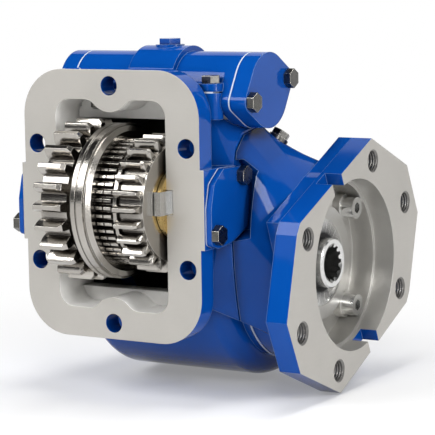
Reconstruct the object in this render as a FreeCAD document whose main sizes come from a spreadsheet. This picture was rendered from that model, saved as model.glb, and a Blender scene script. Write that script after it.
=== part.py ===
import FreeCAD, Part
import math
import os
import Sketcher

# Six-bolt power take off unit. The origin is the centre of the six mounting holes, on the mounting face.
# The face is the plane Y = 0 and looks along -Y. The shafts run along X, and +Z is up.

# Driving sizes, in millimetres and degrees
DRIVING = {
    # Mounting flange: six holes round a window
    "side_hole_x": 50.8,
    "side_hole_z": 34.13,
    "end_hole_z": 68.26,
    "bolt_hole_radius": 5.55,
    "flange_half_wide": 59.5,
    "flange_half_tall": 77.5,
    "flange_corner": 27.0,
    "flange_thick": 13.0,
    "window_half_wide": 37.4,
    "window_half_tall": 60.3,
    "window_corner": 9.5,
    "hole_boss_radius": 15.0,
    "window_blend": 9.0,
    "bolt_head_room": 10.5,
    # Side pads that hold the idler shaft
    "pad_half_wide": 62.0,
    "pad_half_tall": 22.5,
    "pad_deep": 47.0,
    "pad_corner": 8.0,
    # Case walls
    "case_wall": 5.0,
    "case_left": -47.0,
    "case_right": 57.2,
    "case_round": 12.0,
    "hull_corner": 13.0,
    "tower_right": 47.0,
    "tower_front": 22.0,
    "tower_back": 78.0,
    "tower_low": -58.0,
    "deck_height": 64.0,
    "gear_room": 2.4,
    "neck_radius": 58.0,
    "neck_bevel": 8.0,
    "neck_roof": 34.0,
    "joint_face": 62.0,
    "fork_house_top": 52.0,
    # Idler shaft and gear cluster
    "idler_y": 12.3,
    "idler_z": 1.5,
    "idler_radius": 10.0,
    "washer_thick": 2.3,
    "washer_radius": 20.0,
    "end_play": 0.3,
    "lock_deep": 1.4,
    "lock_lip": 3.9,
    "lock_below": 4.7,
    "lock_above": 8.7,
    "lock_gap": 0.3,
    "roller_radius": 1.37,
    "roller_gap": 0.15,
    "roller_long": 24.0,
    "hub_radius": 24.0,
    "hub_shoulder": 30.0,
    "input_teeth": 24,
    "input_module": 3.615,
    "input_start": -30.2,
    "input_wide": 17.6,
    "input_turn": 0.0,
    "collar_start": -7.0,
    "collar_wide": 12.0,
    "collar_radius": 44.8,
    "dog_teeth": 50,
    "dog_tip": 36.2,
    "dog_root": 33.2,
    "dog_start": 5.4,
    "dog_first_wide": 4.3,
    "dog_gap": 0.8,
    "dog_second_wide": 5.0,
    "dog_lip": 35.0,
    "drive_teeth": 26,
    "drive_module": 2.822,
    "drive_start": 18.5,
    "drive_wide": 15.1,
    "drive_bevel": 2.2,
    "drive_rim": 33.0,
    "drive_narrowing": 0.45,
    "drive_turn": 0.0,
    "tooth_slack": 0.3,
    "tip_relief": 0.8,
    "input_bevel": 2.2,
    "input_narrowing": 0.82,
    "output_bevel": 3.5,
    "output_narrowing": 0.4,
    # Output shaft and sliding gear
    "drop_angle": 26.3,
    "output_teeth": 42,
    "output_wide": 15.5,
    "slide_travel": 17.2,
    "slide_hub_radius": 33.0,
    "slide_hub_long": 18.0,
    "groove_radius": 27.4,
    "groove_wide": 8.0,
    "groove_offset": 7.7,
    "spline_count": 10,
    "spline_tip": 18.0,
    "spline_root": 15.8,
    "spline_gap": 0.25,
    "spline_start": -4.0,
    "shoulder_end": 63.3,
    "shaft_left": -45.0,
    "shaft_end": 91.0,
    "seat_radius": 15.0,
    "tail_radius": 12.5,
    "bearing_wide": 13.0,
    "front_bearing_radius": 31.0,
    "rear_bearing_radius": 26.0,
    "race_thick": 4.2,
    "bearing_rollers": 12,
    "socket_depth": 32.0,
    "socket_teeth": 13,
    "socket_major": 11.1,
    "socket_minor": 9.6,
    # Pump flange
    "pump_face": 106.3,
    "pump_flange_thick": 13.5,
    "pump_top_thick": 22.0,
    "pump_turn": 24.0,
    "pump_half_long": 86.3,
    "pump_half_wide": 58.0,
    "pump_flat_half": 49.0,
    "pump_shoulder": 19.3,
    "pump_chin": 15.0,
    "pump_corner_p": 55.5,
    "pump_corner_q": 53.5,
    "pilot_radius": 50.8,
    "pilot_deep": 13.0,
    "pocket_radius": 48.5,
    "four_bolt_radius": 63.5,
    "two_bolt_radius": 73.025,
    "pump_hole_radius": 5.6,
    "pump_hole_mouth": 6.9,
    "notch_wide": 12.3,
    "notch_deep": 10.8,
    "floor_face": 79.0,
    "rim_face": 84.0,
    "rim_radius": 34.5,
    "seal_radius": 26.0,
    "seal_wide": 6.0,
    "seal_ledge": 23.0,
    "socket_screw_circle": 42.0,
    "socket_screw_radius": 4.0,
    "socket_head_radius": 6.5,
    "socket_head_high": 8.0,
    "socket_key_radius": 3.46,
    "screw_boss_radius": 8.0,
    "screw_bite": 7.0,
    "gasket_thick": 0.8,
    # Shift cylinder
    "shift_y": 50.0,
    "shift_z": 64.2,
    "shift_radius": 21.7,
    "shift_swell": 25.0,
    "swell_left": -5.0,
    "swell_right": 25.5,
    "shift_left": -43.0,
    "shift_right": 65.1,
    "cap_thick": 10.5,
    "cap_tilt": 14.5,
    "cap_bolt_offset": 22.2,
    "cap_ear_radius": 6.0,
    "ear_long": 7.0,
    "saddle_gap": 0.3,
    "cylinder_bore": 17.0,
    "bulkhead_left": 29.0,
    "bulkhead_right": 34.0,
    "cavity_left": -11.0,
    "rod_radius": 6.0,
    "rod_gap": 0.3,
    "lug_radius": 7.0,
    "lug_high": 4.5,
    "lug_left": -25.0,
    "lug_right": 53.4,
    "lug_front": 23.5,
    "lug_back": 76.5,
    "post_long": 15.0,
    "small_bolt_radius": 3.0,
    "small_head_radius": 5.7,
    "small_head_high": 4.4,
    "small_bolt_bite": 10.0,
    # Shift group
    "piston_long": 9.0,
    "piston_pocket": 6.0,
    "piston_rest": 56.0,
    "rod_left": -25.0,
    "fork_thick": 7.0,
    "fork_hub_radius": 11.0,
    "fork_hub_long": 17.5,
    "fork_gap": 0.6,
    "fork_outer": 40.0,
    "spring_wire": 1.0,
    "spring_turns": 4.0,
    # Covers
    "side_plate_thick": 3.5,
    "side_gasket_thick": 0.6,
    "cover_room": 3.5,
    "rear_cover_radius": 38.0,
    "rear_cover_thick": 6.0,
    "rear_bolt_circle": 32.0,
    "plug_radius": 7.0,
    "plug_high": 3.5,
    "plug_boss_high": 0.6,
}

document = FreeCAD.newDocument("power_take_off")
sheet = document.addObject("Spreadsheet::Sheet", "Sizes")
for row, (alias, number) in enumerate(DRIVING.items(), 1):
    sheet.set(f"A{row}", alias)
    sheet.set(f"B{row}", str(number))
    sheet.setAlias(f"B{row}", alias)
document.recompute()

PIECES = []


def text_of(number):
    return number.text if isinstance(number, Size) else repr(float(number))


class Size(float):
    """A size with the expression that works it out from the sheet."""

    def __new__(cls, number, text):
        size = float.__new__(cls, number)
        size.text = text
        return size

    def __add__(self, other):
        return Size(float(self) + float(other), f"({self.text} + {text_of(other)})")

    def __radd__(self, other):
        return Size(float(other) + float(self), f"({text_of(other)} + {self.text})")

    def __sub__(self, other):
        return Size(float(self) - float(other), f"({self.text} - {text_of(other)})")

    def __rsub__(self, other):
        return Size(float(other) - float(self), f"({text_of(other)} - {self.text})")

    def __mul__(self, other):
        return Size(float(self) * float(other), f"({self.text} * {text_of(other)})")

    def __rmul__(self, other):
        return Size(float(other) * float(self), f"({text_of(other)} * {self.text})")

    def __truediv__(self, other):
        return Size(float(self) / float(other), f"({self.text} / {text_of(other)})")

    def __neg__(self):
        return Size(-float(self), f"(-{self.text})")


class SheetSizes:
    """Reads each alias of the sheet as a Size."""

    def __getattr__(self, alias):
        return Size(sheet.get(alias), "Sizes." + alias)


s = SheetSizes()


def cosine(angle):
    return Size(math.cos(math.radians(angle)), f"cos({angle.text})")


def sine(angle):
    return Size(math.sin(math.radians(angle)), f"sin({angle.text})")


def arc_cosine(ratio):
    return Size(math.degrees(math.acos(ratio)), f"acos({ratio.text})")


# Places worked out from the driving sizes
input_tip = s.input_module * (s.input_teeth + 2) / 2
drive_tip = s.drive_module * (s.drive_teeth + 2) / 2
output_tip = s.drive_module * (s.output_teeth + 2) / 2
centre_distance = s.drive_module * (s.drive_teeth + s.output_teeth) / 2
out_y = s.idler_y + centre_distance * cosine(s.drop_angle)
out_z = s.idler_z - centre_distance * sine(s.drop_angle)
chamber_radius = output_tip + s.gear_room
bulge_radius = chamber_radius + s.case_wall
chamber_left = s.case_left + s.case_wall
chamber_right = s.case_right - s.case_wall
hull_half_wide = s.window_half_wide + s.case_wall
cluster_half = s.window_half_wide - s.washer_thick - s.end_play
output_engaged = s.drive_start + 0.0
output_rest = output_engaged + s.slide_travel
groove_middle = output_rest - s.groove_offset - s.groove_wide / 2
fork_start = groove_middle - s.fork_thick / 2
neck_start = s.joint_face + s.gasket_thick
pump_back = s.pump_face - s.pump_flange_thick
BEYOND = 300.0  # farther out than the part reaches, for cuts that go right through
ALL_ACROSS = (-BEYOND, BEYOND)
side_cover_face = s.pad_half_wide + s.side_gasket_thick
shift_cap = s.shift_right + s.gasket_thick
shift_back = s.shift_left - s.gasket_thick
lug_face = s.deck_height + s.gasket_thick
lock_low = s.idler_z - s.lock_below
lock_high = s.idler_z + s.lock_above


def vector(x, y, z):
    return FreeCAD.Vector(float(x), float(y), float(z))


def bind(thing, path, size):
    """Ties one property of a thing to the sheet, or sets it where it is a plain number."""
    if isinstance(size, Size):
        thing.setExpression(path, size.text)
    elif "." not in path:
        setattr(thing, path, size)


def place(thing, x, y, z, axis=(0, 0, 1), angle=0.0):
    thing.Placement = FreeCAD.Placement(vector(x, y, z), FreeCAD.Rotation(vector(*axis), float(angle)))
    for path, size in (("Placement.Base.x", x), ("Placement.Base.y", y), ("Placement.Base.z", z)):
        bind(thing, path, size)
    if isinstance(angle, Size):
        bind(thing, "Placement.Rotation.Angle", angle)


def rod(name, x, radius, y=0.0, z=0.0):
    """A cylinder along X, from x[0] to x[1]."""
    thing = document.addObject("Part::Cylinder", name)
    place(thing, x[0], y, z, (0, 1, 0), 90)
    bind(thing, "Radius", radius)
    bind(thing, "Height", x[1] - x[0])
    return thing


def bore_y(name, y, radius, x=0.0, z=0.0):
    """A cylinder along Y, from y[0] to y[1]."""
    thing = document.addObject("Part::Cylinder", name)
    place(thing, x, y[0], z, (1, 0, 0), -90)
    bind(thing, "Radius", radius)
    bind(thing, "Height", y[1] - y[0])
    return thing


def post(name, z, radius, x, y):
    """A cylinder along Z, from z[0] to z[1]."""
    thing = document.addObject("Part::Cylinder", name)
    place(thing, x, y, z[0])
    bind(thing, "Radius", radius)
    bind(thing, "Height", z[1] - z[0])
    return thing


def hexagon(name, x, radius, y, z, along="X"):
    """A hexagonal head along X or Z, with its corners at the radius."""
    thing = document.addObject("Part::Prism", name)
    thing.Polygon = 6
    if along == "X":
        place(thing, x[0], y, z, (0, 1, 0), 90)
        bind(thing, "Height", x[1] - x[0])
    else:
        place(thing, x, y, z[0])
        bind(thing, "Height", z[1] - z[0])
    bind(thing, "Circumradius", radius)
    return thing


def block(name, x, y, z):
    thing = document.addObject("Part::Box", name)
    place(thing, x[0], y[0], z[0])
    bind(thing, "Length", x[1] - x[0])
    bind(thing, "Width", y[1] - y[0])
    bind(thing, "Height", z[1] - z[0])
    return thing


def joined(name, *things):
    if len(things) == 1:
        return things[0]
    thing = document.addObject("Part::MultiFuse", name)
    thing.Shapes = list(things)
    thing.Refine = True
    return thing


def cut(name, base, *tools):
    thing = document.addObject("Part::Cut", name)
    thing.Base = base
    thing.Tool = joined(name + "_tools", *tools)
    thing.Refine = True
    return thing


def group(name, *things):
    """Like pieces kept as separate solids of one sub-part."""
    thing = document.addObject("Part::Compound", name)
    thing.Links = list(things)
    return thing


def feature(name, shape):
    thing = document.addObject("Part::Feature", name)
    thing.Shape = shape
    return thing


def runs_along(edge, axis):
    ends = [vertex.Point for vertex in edge.Vertexes]
    if len(ends) != 2 or edge.Curve.TypeId != "Part::GeomLine":
        return False
    return abs((ends[1] - ends[0]).normalize().dot(vector(*axis))) > 0.999


def rounded(name, base, radius, axis=None, wanted=None):
    """Rounds the straight edges along an axis, or the edges that a test picks."""
    document.recompute()
    test = wanted or (lambda edge: runs_along(edge, axis))
    thing = document.addObject("Part::Fillet", name)
    thing.Base = base
    numbers = [number for number, edge in enumerate(base.Shape.Edges, 1) if test(edge)]
    thing.Edges = [(number, float(radius), float(radius)) for number in numbers]
    return thing


def piece(thing, node):
    thing.Label = node
    PIECES.append(thing)


def outline_on(body, role, points):
    """A closed outline of straight sides on one of the body's own planes, each corner tied to the sheet."""
    plane = next(item for item in body.Origin.OriginFeatures if item.Role == role)
    sketch = body.newObject("Sketcher::SketchObject", body.Name + "_outline")
    sketch.AttachmentSupport = [(plane, "")]
    sketch.MapMode = "FlatFace"
    count = len(points)
    for index in range(count):
        start = points[index]
        end = points[(index + 1) % count]
        sketch.addGeometry(Part.LineSegment(vector(start[0], start[1], 0), vector(end[0], end[1], 0)), False)
    for index in range(count):
        sketch.addConstraint(Sketcher.Constraint("Coincident", index, 2, (index + 1) % count, 1))
    for index, corner in enumerate(points):
        for kind, size in zip(("DistanceX", "DistanceY"), corner):
            number = sketch.addConstraint(Sketcher.Constraint(kind, -1, 1, index, 1, float(size)))
            if isinstance(size, Size):
                sketch.setExpression(f"Constraints[{number}]", size.text)
    return sketch


def turned(name, outline, y=0.0, z=0.0):
    """A turned piece: an outline of (x, radius) corners, revolved about X at (y, z)."""
    body = document.addObject("PartDesign::Body", name)
    sketch = outline_on(body, "XZ_Plane", outline)
    turn = body.newObject("PartDesign::Revolution", name + "_turn")
    turn.Profile = sketch
    turn.ReferenceAxis = (sketch, ["H_Axis"])
    turn.Angle = 360
    sketch.Visibility = False
    place(body, 0.0, y, z)
    return body


def ring(name, x, inner, outer, y=0.0, z=0.0):
    return turned(name, [(x[0], inner), (x[1], inner), (x[1], outer), (x[0], outer)], y, z)


def padded(name, outline, role, start, length, y=0.0, z=0.0, turn=0.0):
    """A plate: an outline on a plane, padded along the plane's own axis from start."""
    body = document.addObject("PartDesign::Body", name)
    sketch = outline_on(body, role, outline)
    pad = body.newObject("PartDesign::Pad", name + "_pad")
    pad.Profile = sketch
    bind(pad, "Length", length)
    sketch.Visibility = False
    if role == "YZ_Plane":
        place(body, start, y, z, (1, 0, 0), turn)
    else:
        place(body, 0.0, y, z)
    return body


# Toothed outlines, drawn round the X axis

def polar(x, radius, angle):
    return vector(x, radius * math.cos(angle), radius * math.sin(angle))


def flank(foot, middle, end):
    """One side of a tooth: an arc, or a line where the side is straight."""
    if (middle - foot).cross(end - foot).Length < 0.001:
        return Part.makeLine(foot, end)
    return Part.Arc(foot, middle, end).toShape()


def toothed_face(x, teeth, radii, half_angles, turn):
    """A toothed outline. radii and half_angles are those of the root, the pitch line and the tip."""
    root, pitch, tip = (float(radius) for radius in radii)
    edges = []
    step = 2 * math.pi / teeth
    for index in range(int(teeth)):
        middle = math.radians(turn) + index * step
        rising = [polar(x, radius, middle - half) for radius, half in zip((root, pitch, tip), half_angles)]
        falling = [polar(x, radius, middle + half) for radius, half in zip((root, pitch, tip), half_angles)]
        following = polar(x, root, middle + step - half_angles[0])
        valley = polar(x, root, middle + step / 2)
        edges.append(flank(*rising))
        edges.append(Part.makeLine(rising[2], falling[2]))
        edges.append(flank(*reversed(falling)))
        edges.append(Part.Arc(falling[0], valley, following).toShape())
    return Part.Wire(edges)


def involute(angle):
    return math.tan(angle) - angle


def gear_wire(x, teeth, module, turn, narrowing=1.0, tip_drop=0.0):
    """The outline of a spur gear with a 20 degree pressure angle."""
    pitch = module * teeth / 2
    base = pitch * math.cos(math.radians(20))
    root = pitch - 1.25 * module
    tip = pitch + module - tip_drop
    at_pitch = math.pi / (2 * teeth) - s.tooth_slack / (4 * pitch)
    start = at_pitch + involute(math.radians(20))
    halves = [start - involute(math.acos(min(1.0, base / radius))) for radius in (root, pitch, tip)]
    halves = [halves[0], halves[1] * narrowing, halves[2] * narrowing]
    return toothed_face(float(x), teeth, (root, pitch, tip), halves, turn)


def prism(wire, length):
    return Part.Face(wire).extrude(vector(length, 0, 0))


def mesh_turn():
    """The turn that puts a gap of the sliding gear opposite a tooth of the drive gear."""
    towards_output = math.degrees(math.atan2(out_z - s.idler_z, out_y - s.idler_y))
    drive_phase = (towards_output - s.drive_turn) * s.drive_teeth / 360
    lead = (drive_phase - math.floor(drive_phase)) * 360 / s.output_teeth
    return towards_output + 180 + lead + 180 / s.output_teeth


# Gear cluster on the idler shaft

def cluster_hub():
    bore = s.idler_radius + s.roller_gap + 2 * s.roller_radius + 0.1
    outline = [
        (-cluster_half, bore),
        (cluster_half, bore),
        (cluster_half, s.hub_radius),
        (s.collar_start, s.hub_radius),
        (s.collar_start, s.hub_shoulder),
        (s.input_start + s.input_wide, s.hub_shoulder),
        (s.input_start + s.input_wide, s.hub_radius),
        (-cluster_half, s.hub_radius),
    ]
    piece(turned("cluster_hub", outline, s.idler_y, s.idler_z), "cluster_hub")


def needle_rollers():
    rollers = []
    circle = s.idler_radius + s.roller_gap + s.roller_radius
    for start in (-cluster_half + 2.0, cluster_half - 2.0 - s.roller_long):
        for index in range(12):
            angle = math.radians(30 * index)
            y = s.idler_y + circle * math.cos(angle)
            z = s.idler_z + circle * math.sin(angle)
            name = f"needle_{len(rollers)}"
            rollers.append(rod(name, (start, start + s.roller_long), s.roller_radius, y, z))
    piece(group("needle_rollers", *rollers), "needle_rollers")


def bored(node, shape, radius, start, end):
    """A toothed piece of the cluster, bored to sit on the hub."""
    teeth = feature(node + "_teeth", shape)
    thing = cut(node, teeth, rod(node + "_bore", (start - 1.0, end + 1.0), radius))
    place(thing, 0.0, s.idler_y, s.idler_z)
    piece(thing, node)


def input_gear():
    straight = s.input_wide - s.input_bevel
    full = gear_wire(s.input_start, s.input_teeth, s.input_module, s.input_turn)
    body = prism(full, straight)
    near = gear_wire(s.input_start + straight, s.input_teeth, s.input_module, s.input_turn)
    far = gear_wire(s.input_start + s.input_wide, s.input_teeth, s.input_module, s.input_turn, s.input_narrowing,
                    s.input_bevel)
    shape = body.fuse(Part.makeLoft([near, far], True, True))
    bored("input_gear", shape, s.hub_radius, s.input_start, s.input_start + s.input_wide)


def drive_gear():
    end = s.drive_start + s.drive_wide
    straight = s.drive_wide - s.drive_bevel
    full = gear_wire(s.drive_start, s.drive_teeth, s.drive_module, s.drive_turn)
    near = gear_wire(s.drive_start + straight, s.drive_teeth, s.drive_module, s.drive_turn)
    far = gear_wire(end, s.drive_teeth, s.drive_module, s.drive_turn, s.drive_narrowing, s.tip_relief)
    shape = prism(full, straight).fuse(Part.makeLoft([near, far], True, True))
    face = Part.makeCylinder(float(s.drive_rim), float(cluster_half - end), vector(end, 0, 0),
                             vector(1, 0, 0))
    bored("drive_gear", shape.fuse(face), s.hub_radius, s.drive_start, cluster_half)


def collar_ring():
    start = s.collar_start
    end = s.collar_start + s.collar_wide
    top = s.collar_radius
    outline = [
        (start, s.hub_radius),
        (end, s.hub_radius),
        (end, top - 4.5),
        (end - 1.6, top - 1.5),
        (end - 2.6, top - 1.5),
        (end - 3.0, top),
        (start + 5.2, top),
        (start + 4.8, top - 0.7),
        (start + 4.2, top - 0.7),
        (start + 3.8, top),
        (start + 1.2, top),
        (start, top - 1.2),
    ]
    piece(turned("collar_ring", outline, s.idler_y, s.idler_z), "collar_ring")


def dog_row(start, wide):
    half = math.pi / s.dog_teeth
    halves = (half * 0.86, half * 0.62, half * 0.34)
    radii = (s.dog_root, (s.dog_root + s.dog_tip) / 2, s.dog_tip)
    return prism(toothed_face(float(start), s.dog_teeth, radii, halves, 0.0), wide)


def dog_sleeve():
    first = s.dog_start
    second = s.dog_start + s.dog_first_wide + s.dog_gap
    end = second + s.dog_second_wide
    rows = dog_row(first, s.dog_first_wide).fuse(dog_row(second, s.dog_second_wide))
    left = float(s.collar_start + s.collar_wide)
    core = Part.makeCylinder(float(s.dog_root) - 0.6, float(s.drive_start) - left, vector(left, 0, 0),
                             vector(1, 0, 0))
    lip = Part.makeCylinder(float(s.dog_lip), float(s.drive_start - end) - 0.6, vector(end + 0.6, 0, 0),
                            vector(1, 0, 0))
    bored("dog_sleeve", rows.fuse([core, lip]), s.hub_radius, first, s.drive_start)


# Output shaft, sliding gear and bearings

def spline_wire(x, count, root, tip, half_width):
    """Straight-sided splines round a shaft."""
    halves = [math.asin(half_width / radius) for radius in (root, (root + tip) / 2, tip)]
    return toothed_face(float(x), count, (root, (root + tip) / 2, tip), halves, 0.0)


def socket_wire(x):
    """The splines inside the end of the output shaft."""
    step = math.pi / s.socket_teeth
    radii = (s.socket_minor, (s.socket_minor + s.socket_major) / 2, s.socket_major)
    return toothed_face(float(x), s.socket_teeth, radii, (step * 0.66, step * 0.5, step * 0.34), 0.0)


def output_shaft():
    outline = [
        (s.shaft_left, 0.0),
        (s.shaft_end, 0.0),
        (s.shaft_end, s.seat_radius - 0.8),
        (s.shaft_end - 0.8, s.seat_radius),
        (s.shoulder_end, s.seat_radius),
        (s.shoulder_end, s.spline_tip),
        (s.shoulder_end - 4.0, s.spline_tip),
        (s.shoulder_end - 4.0, s.spline_root - 0.6),
        (s.spline_start, s.spline_root - 0.6),
        (s.spline_start, s.spline_root),
        (s.shaft_left + s.bearing_wide, s.spline_root),
        (s.shaft_left + s.bearing_wide, s.tail_radius),
        (s.shaft_left, s.tail_radius),
    ]
    core = turned("output_core", outline)
    half = math.pi * s.spline_tip / s.spline_count / 2
    long = float(s.shoulder_end - 6.0 - s.spline_start)
    splines = feature("output_splines", prism(spline_wire(s.spline_start, s.spline_count, s.spline_root,
                                                          s.spline_tip, half), long))
    socket = feature("output_socket", prism(socket_wire(s.shaft_end - s.socket_depth), s.socket_depth + 1.0))
    mouth = document.addObject("Part::Cone", "output_mouth")
    place(mouth, s.shaft_end - 1.2, 0.0, 0.0, (0, 1, 0), 90)
    bind(mouth, "Radius1", s.socket_minor)
    bind(mouth, "Radius2", s.socket_major + 0.9)
    bind(mouth, "Height", 1.3)
    thing = cut("output_shaft", joined("output_solid", core, splines), socket, mouth)
    place(thing, 0.0, out_y, out_z)
    piece(thing, "output_shaft")


def sliding_gear():
    """The gear that slides along the output shaft, with the groove that the fork runs in."""
    hub_left = output_rest - s.slide_hub_long
    groove = groove_middle - s.groove_wide / 2
    outline = [
        (hub_left, s.spline_root - 1.0),
        (output_rest + 1.0, s.spline_root - 1.0),
        (output_rest + 1.0, s.slide_hub_radius),
        (groove + s.groove_wide, s.slide_hub_radius),
        (groove + s.groove_wide, s.groove_radius),
        (groove, s.groove_radius),
        (groove, s.slide_hub_radius),
        (hub_left + 1.0, s.slide_hub_radius),
        (hub_left, s.slide_hub_radius - 1.0),
    ]
    hub = turned("sliding_hub", outline)
    turn = mesh_turn()
    near = gear_wire(output_rest + s.output_bevel, s.output_teeth, s.drive_module, turn)
    tip = gear_wire(output_rest, s.output_teeth, s.drive_module, turn, s.output_narrowing, s.tip_relief)
    shape = prism(near, s.output_wide - s.output_bevel).fuse(Part.makeLoft([tip, near], True, True))
    teeth = feature("sliding_teeth", shape)
    half = math.pi * s.spline_tip / s.spline_count / 2 + s.spline_gap
    hole = spline_wire(hub_left - 1.0, s.spline_count, s.spline_root + s.spline_gap,
                       s.spline_tip + s.spline_gap, half)
    slots = feature("sliding_slots", prism(hole, s.slide_hub_long + s.output_wide + 2.0))
    thing = cut("sliding_gear", joined("sliding_solid", hub, teeth), slots)
    place(thing, 0.0, out_y, out_z)
    piece(thing, "sliding_gear")


def bearing(name, start, inner, outer):
    """A roller bearing: the outer race, the rollers and the inner race."""
    end = start + s.bearing_wide
    track = inner + s.race_thick
    wall = outer - s.race_thick
    piece(ring(name + "_outer", (start, end), wall, outer, out_y, out_z), name + "_outer")
    piece(ring(name + "_inner", (start, end), inner, track, out_y, out_z), name + "_inner")
    roller = (wall - track) / 2 - 0.15
    circle = (wall + track) / 2
    rollers = []
    for index in range(int(s.bearing_rollers)):
        angle = 2 * math.pi * index / s.bearing_rollers
        y = out_y + circle * math.cos(angle)
        z = out_z + circle * math.sin(angle)
        rollers.append(rod(f"{name}_roller_{index}", (start + 1.5, end - 1.5), roller, y, z))
    piece(group(name + "_rollers", *rollers), name + "_rollers")


def output_seal():
    start = s.rim_face - s.seal_wide - 0.5
    outline = [
        (start, s.seat_radius + 3.0),
        (start + 2.0, s.seat_radius + 3.0),
        (start + 2.6, s.seat_radius + 0.3),
        (start + 4.0, s.seat_radius + 0.3),
        (start + s.seal_wide, s.seat_radius + 2.6),
        (start + s.seal_wide, s.seal_radius),
        (start, s.seal_radius),
    ]
    piece(turned("output_seal", outline, out_y, out_z), "output_seal")


# Case casting

def window_space(front, back):
    """The window: a rounded rectangle that bends round the top and bottom holes."""
    x = (-s.window_half_wide, s.window_half_wide)
    z = (-s.window_half_tall, s.window_half_tall)
    whole = block("window_block", x, (front, back), z)
    opening = rounded("window_opening", whole, s.window_corner, (0, 1, 0))
    top = bore_y("window_boss_top", (front - 1.0, back + 1.0), s.hole_boss_radius, 0.0, s.end_hole_z)
    low = bore_y("window_boss_low", (front - 1.0, back + 1.0), s.hole_boss_radius, 0.0, -s.end_hole_z)
    space = cut("window_outline", opening, top, low)

    def beside_a_boss(edge):
        return runs_along(edge, (0, 1, 0)) and abs(edge.CenterOfMass.x) < s.hole_boss_radius

    return rounded("window_space", space, s.window_blend, wanted=beside_a_boss)


def neck_loft():
    """The neck of the casting: from the square tower to the round back of the pump flange."""
    left = float(s.tower_right)
    bevel = float(s.neck_bevel)
    corners = [
        vector(left, s.tower_front, s.tower_low),
        vector(left, s.tower_back + 40.0, s.tower_low),
        vector(left, s.tower_back + 20.0, 0.0),
        vector(left, s.tower_front + s.neck_roof, s.deck_height),
        vector(left, s.tower_front + bevel, s.deck_height),
        vector(left, s.tower_front, s.deck_height - bevel),
    ]
    square = Part.makePolygon(corners + corners[:1])
    right = float(s.pump_face - s.pump_top_thick)
    arcs = []
    turns = (-135, -45, 30, 113, 128, 142, 225)
    for start, end in zip(turns, turns[1:]):
        leans = [math.radians(turn) for turn in (start, (start + end) / 2, end)]
        points = [vector(right, out_y + s.neck_radius * math.cos(lean), out_z + s.neck_radius * math.sin(lean))
                  for lean in leans]
        arcs.append(Part.Arc(*points).toShape())
    circle = Part.Wire(arcs)
    return Part.makeLoft([square, circle], True, True)


def bulge_round():
    whole = rod("bulge_block", (s.case_left, s.case_right), bulge_radius, out_y, out_z)
    return rounded("bulge", whole, s.case_round, wanted=lambda edge: len(edge.Vertexes) == 1)


def case_outside():
    flange = rounded("flange_plate", block("flange_block", (-s.flange_half_wide, s.flange_half_wide),
                                           (0.0, s.flange_thick), (-s.flange_half_tall, s.flange_half_tall)),
                     s.flange_corner, (0, 1, 0))
    pads = rounded("side_pads", block("pads_block", (-s.pad_half_wide, s.pad_half_wide), (0.0, s.pad_deep),
                                      (-s.pad_half_tall, s.pad_half_tall)), s.pad_corner,
                   wanted=lambda edge: runs_along(edge, (1, 0, 0)) and edge.CenterOfMass.y > 1)
    hull_block = block("hull_block", (-hull_half_wide, hull_half_wide), (0.0, s.tower_front + 8.0),
                       (-s.window_half_tall - s.case_wall, s.deck_height))
    hull = rounded("front_hull", hull_block, s.hull_corner, (0, 1, 0))
    reliefs = [bore_y(f"relief_{end}", (s.flange_thick, s.tower_front + 9.0), s.bolt_head_room, 0.0, z)
               for end, z in (("top", s.end_hole_z), ("low", -s.end_hole_z))]
    front = joined("case_front", flange, cut("relieved_hull", hull, *reliefs), pads)
    tower = block("tower", (-hull_half_wide, s.tower_right), (s.tower_front, s.tower_back),
                  (s.tower_low, s.deck_height))
    neck = document.addObject("Part::Cut", "case_neck")
    neck.Base = feature("neck_left", neck_loft())
    neck.Tool = block("neck_trim", (s.joint_face, BEYOND), ALL_ACROSS, ALL_ACROSS)
    left_boss = rod("left_boss", (s.case_left - 4.0, s.case_left + 1.0), s.rear_cover_radius, out_y, out_z)
    right_boss = rod("right_boss", (s.case_right - 1.0, s.joint_face), s.neck_radius, out_y, out_z)
    reach = (s.tower_front + s.tower_back) / 2
    house = padded("fork_house", fork_house_outline(0.0), "YZ_Plane", fork_start - s.slide_travel - 7.0,
                   s.fork_thick + s.slide_travel + 14.0)
    posts = [post(f"post_{index}", (s.deck_height - s.post_long, s.deck_height), s.lug_radius, x, y)
             for index, (x, y) in enumerate(lug_places())]
    return joined("case_outside", front, tower, neck, bulge_round(), left_boss, right_boss, house, *posts)


def fork_house_outline(wall):
    """The back of the casting over the shift fork, seen along X."""
    back = s.tower_back
    return [
        (back - 10.0, s.fork_house_top - wall),
        (back + 4.0 - wall * 0.4, s.fork_house_top - wall),
        (back + 24.0 - wall, 10.0),
        (back + 24.0 - wall, -10.0),
        (back - 10.0, -10.0),
    ]


def lug_places():
    return [(s.lug_left, s.lug_front), (s.lug_left, s.lug_back), (s.lug_right, s.lug_front),
            (s.lug_right - 5.0, s.lug_back)]


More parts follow.
